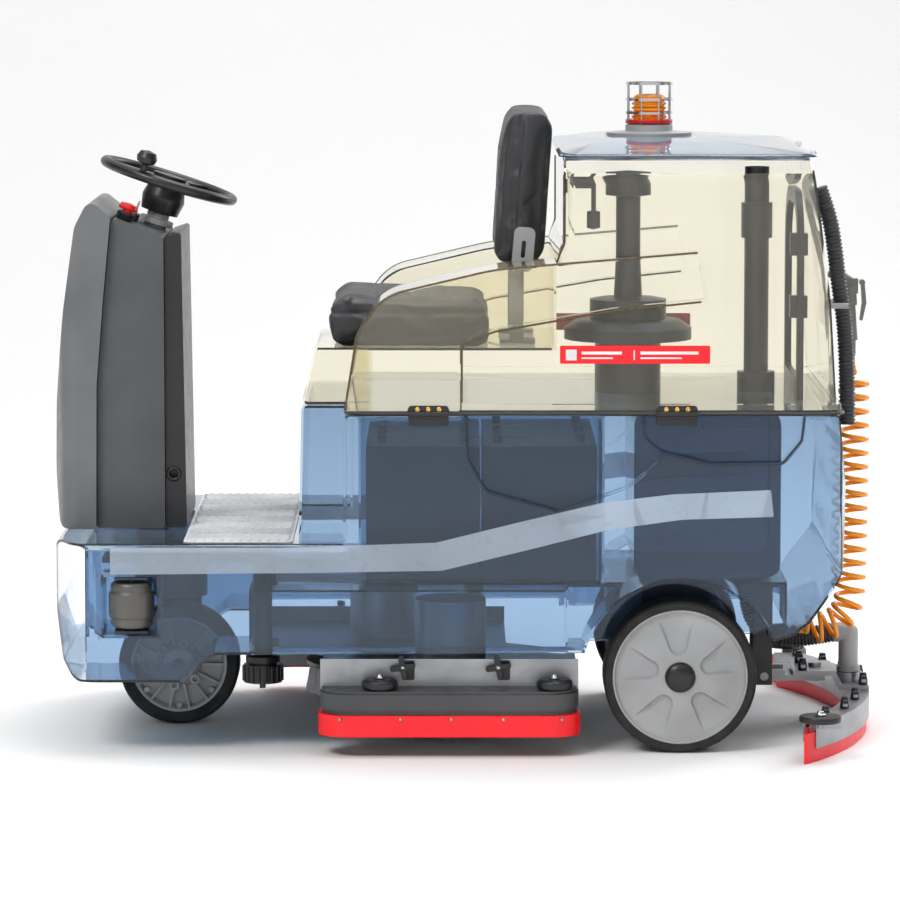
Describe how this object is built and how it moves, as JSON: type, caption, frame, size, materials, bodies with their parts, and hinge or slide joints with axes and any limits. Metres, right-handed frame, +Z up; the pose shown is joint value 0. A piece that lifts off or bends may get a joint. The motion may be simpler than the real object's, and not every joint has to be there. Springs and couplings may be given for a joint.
{
  "type": "ride-on floor scrubber",
  "caption": "Ride-on floor scrubber with clear solution and recovery tanks, driver's seat and steering console, brush deck, curved squeegee and warning beacon.",
  "frame": {"origin": "on the floor, under the middle of the machine", "axes": "+X to the rear of the machine, +Z up, -Y its left side"},
  "size_m": [1.7216, 1.094, 1.364],
  "materials": {
    "frame_steel": "satin powder coat",
    "clear_blue": "clear tinted moulding",
    "clear_amber": "clear tinted moulding",
    "lid_blue": "clear tinted moulding",
    "mat_grey": "ribbed",
    "console_grey": "fine grained",
    "graphite": "fine grained",
    "black_plastic": "moulded",
    "light_grey": "satin",
    "stop_red": "gloss",
    "battery_black": "moulded case",
    "cast_alu": "cast",
    "rim_grey": "satin",
    "tyre_black": "tread rubber",
    "roller_bronze": "satin",
    "seat_black": "fine grained vinyl",
    "hose_grey": "corrugated",
    "orange_hose": "polyurethane",
    "gun_grey": "satin",
    "pale_stripe": "film",
    "beacon_orange": "prismatic",
    "wire_steel": "polished wire",
    "deck_grey": "satin",
    "skirt_red": "gum rubber",
    "bristle_white": "nylon",
    "zinc": "plated"
  },
  "bodies": {
    "chassis": {"chassis_frame": "frame_steel", "solution_tank": "clear_blue", "footplate_mat": "mat_grey", "console_cover": "console_grey", "console_column": "graphite", "console_panel": "black_plastic", "console_fittings": "black_plastic", "steering_column": "light_grey", "battery_pack": "battery_black", "controller": "cast_alu", "filter_housing": "black_plastic", "side_stripe": "pale_stripe", "tank_hinges": "black_plastic", "deck_actuator": "zinc", "suction_hose": "hose_grey", "spray_hose": "orange_hose"},
    "steering": {"steering_wheel": "black_plastic", "steering_hub": "black_plastic"},
    "spinner": {"spinner_knob": "black_plastic"},
    "ignition": {"ignition_key": "light_grey"},
    "stop_button": {"estop_button": "stop_red"},
    "pedal": {"accelerator_pedal": "black_plastic"},
    "drive_unit": {"drive_fork": "frame_steel"},
    "front_wheel": {"front_wheel_rim": "cast_alu", "front_wheel_tyre": "tyre_black"},
    "rear_wheel_left": {"rear_wheel_left_rim": "rim_grey", "rear_wheel_left_tyre": "tyre_black"},
    "rear_wheel_right": {"rear_wheel_right_rim": "rim_grey", "rear_wheel_right_tyre": "tyre_black"},
    "guide_roller_left": {"guide_roller_left": "roller_bronze"},
    "guide_roller_right": {"guide_roller_right": "roller_bronze"},
    "recovery": {"recovery_tank": "clear_amber", "seat_cushion": "seat_black", "backrest": "seat_black", "seat_bracket": "light_grey", "vacuum_motor": "black_plastic", "float_switch": "black_plastic", "suction_pipe": "black_plastic", "drain_hose": "hose_grey", "hose_holder": "light_grey", "spray_gun": "gun_grey"},
    "trigger": {"gun_trigger": "gun_grey"},
    "lid": {"tank_lid": "lid_blue", "beacon_base": "light_grey", "beacon_lens": "beacon_orange", "beacon_cage": "wire_steel"},
    "deck": {"scrub_deck": "cast_alu", "deck_covers": "deck_grey", "deck_skirts": "skirt_red"},
    "brush_left": {"brush_left": "bristle_white"},
    "brush_right": {"brush_right": "bristle_white"},
    "deck_roller_front": {"deck_roller_front": "black_plastic"},
    "deck_roller_rear": {"deck_roller_rear": "black_plastic"},
    "squeegee_arm": {"squeegee_arm": "cast_alu"},
    "squeegee": {"squeegee": "cast_alu", "squeegee_blades": "skirt_red", "suction_elbow": "light_grey"},
    "squeegee_roller_left": {"squeegee_roller_left": "black_plastic"},
    "squeegee_roller_right": {"squeegee_roller_right": "black_plastic"},
    "filter_cap": {"filter_cap": "black_plastic"}
  },
  "joints": [
    {"name": "front_steer", "type": "hinge", "parent": "chassis", "child": "drive_unit", "pos_m": [-0.609, 0, 0.35], "axis": [0, 0, 1], "range_deg": [-75, 75]},
    {"name": "steering_wheel_turn", "type": "hinge", "parent": "chassis", "child": "steering", "pos_m": [-0.626, 0, 1.157], "axis": [0.3007, 0, 0.9537], "range_deg": [-225, 225]},
    {"name": "spinner_spin", "type": "hinge", "parent": "steering", "child": "spinner", "pos_m": [-0.67566, -0.12888, 1.17266], "axis": [0.3007, 0, 0.9537], "continuous": true},
    {"name": "front_wheel_spin", "type": "hinge", "parent": "drive_unit", "child": "front_wheel", "pos_m": [-0.609, 0, 0.128], "axis": [0, 1, 0], "continuous": true},
    {"name": "rear_wheel_left_spin", "type": "hinge", "parent": "chassis", "child": "rear_wheel_left", "pos_m": [0.441, -0.35, 0.1575], "axis": [0, 1, 0], "continuous": true},
    {"name": "rear_wheel_right_spin", "type": "hinge", "parent": "chassis", "child": "rear_wheel_right", "pos_m": [0.441, 0.35, 0.1575], "axis": [0, 1, 0], "continuous": true},
    {"name": "guide_roller_left_spin", "type": "hinge", "parent": "chassis", "child": "guide_roller_left", "pos_m": [-0.685, -0.392, 0.309], "axis": [0, 0, 1], "continuous": true},
    {"name": "guide_roller_right_spin", "type": "hinge", "parent": "chassis", "child": "guide_roller_right", "pos_m": [-0.685, 0.392, 0.309], "axis": [0, 0, 1], "continuous": true},
    {"name": "accelerator_press", "type": "hinge", "parent": "chassis", "child": "pedal", "pos_m": [-0.64, 0.262, 0.451], "axis": [0, -1, 0], "range_deg": [0, 18], "stiffness_Nm_per_rad": 8, "springref_deg": -8.59},
    {"name": "emergency_stop_press", "type": "slide", "parent": "chassis", "child": "stop_button", "axis": [-0.3549, 0, -0.9349], "range_m": [0, 0.005], "stiffness_N_per_m": 900, "springref_m": -0.002},
    {"name": "key_turn", "type": "hinge", "parent": "chassis", "child": "ignition", "pos_m": [-0.69989, -0.06, 1.07561], "axis": [0.3549, 0, 0.9349], "range_deg": [-60, 60]},
    {"name": "tank_tilt", "type": "hinge", "parent": "chassis", "child": "recovery", "pos_m": [0, -0.437, 0.705], "axis": [1, 0, 0], "range_deg": [0, 60], "deforming": ["spray_hose"]},
    {"name": "tank_lid_open", "type": "hinge", "parent": "recovery", "child": "lid", "pos_m": [0.719, 0, 1.226], "axis": [0, 1, 0], "range_deg": [0, 75]},
    {"name": "trigger_pull", "type": "hinge", "parent": "recovery", "child": "trigger", "pos_m": [0.833, -0.092, 0.948], "axis": [0, 1, 0], "range_deg": [0, 4], "stiffness_Nm_per_rad": 0.8, "springref_deg": -8.59},
    {"name": "scrub_deck_lift", "type": "slide", "parent": "chassis", "child": "deck", "axis": [0, 0, 1], "range_m": [-0.038, 0.006]},
    {"name": "brush_left_spin", "type": "hinge", "parent": "deck", "child": "brush_left", "pos_m": [-0.031, -0.194, 0.1], "axis": [0, 0, 1], "continuous": true},
    {"name": "brush_right_spin", "type": "hinge", "parent": "deck", "child": "brush_right", "pos_m": [-0.175, 0.194, 0.1], "axis": [0, 0, 1], "continuous": true},
    {"name": "deck_roller_front_spin", "type": "hinge", "parent": "deck", "child": "deck_roller_front", "pos_m": [-0.176, -0.424, 0.149], "axis": [0, 0, 1], "continuous": true},
    {"name": "deck_roller_rear_spin", "type": "hinge", "parent": "deck", "child": "deck_roller_rear", "pos_m": [0.182, -0.424, 0.149], "axis": [0, 0, 1], "continuous": true},
    {"name": "squeegee_lift", "type": "hinge", "parent": "chassis", "child": "squeegee_arm", "pos_m": [0.636, 0, 0.106], "axis": [0, -1, 0], "range_deg": [0, 14], "deforming": ["suction_hose"]},
    {"name": "squeegee_swing", "type": "hinge", "parent": "squeegee_arm", "child": "squeegee", "pos_m": [0.748, 0, 0.106], "axis": [0, 0, 1], "range_deg": [-10, 10]},
    {"name": "squeegee_roller_left_spin", "type": "hinge", "parent": "squeegee", "child": "squeegee_roller_left", "pos_m": [0.721, -0.504, 0.09], "axis": [0, 0, 1], "continuous": true},
    {"name": "squeegee_roller_right_spin", "type": "hinge", "parent": "squeegee", "child": "squeegee_roller_right", "pos_m": [0.721, 0.504, 0.09], "axis": [0, 0, 1], "continuous": true},
    {"name": "filter_cap_turn", "type": "hinge", "parent": "chassis", "child": "filter_cap", "pos_m": [-0.425, -0.172, 0.13], "axis": [0, 0, 1], "range_deg": [0, 90]}
  ],
  "couplings": [
    {"joint": "steering_wheel_turn", "follows": "front_steer", "ratio": 3}
  ]
}
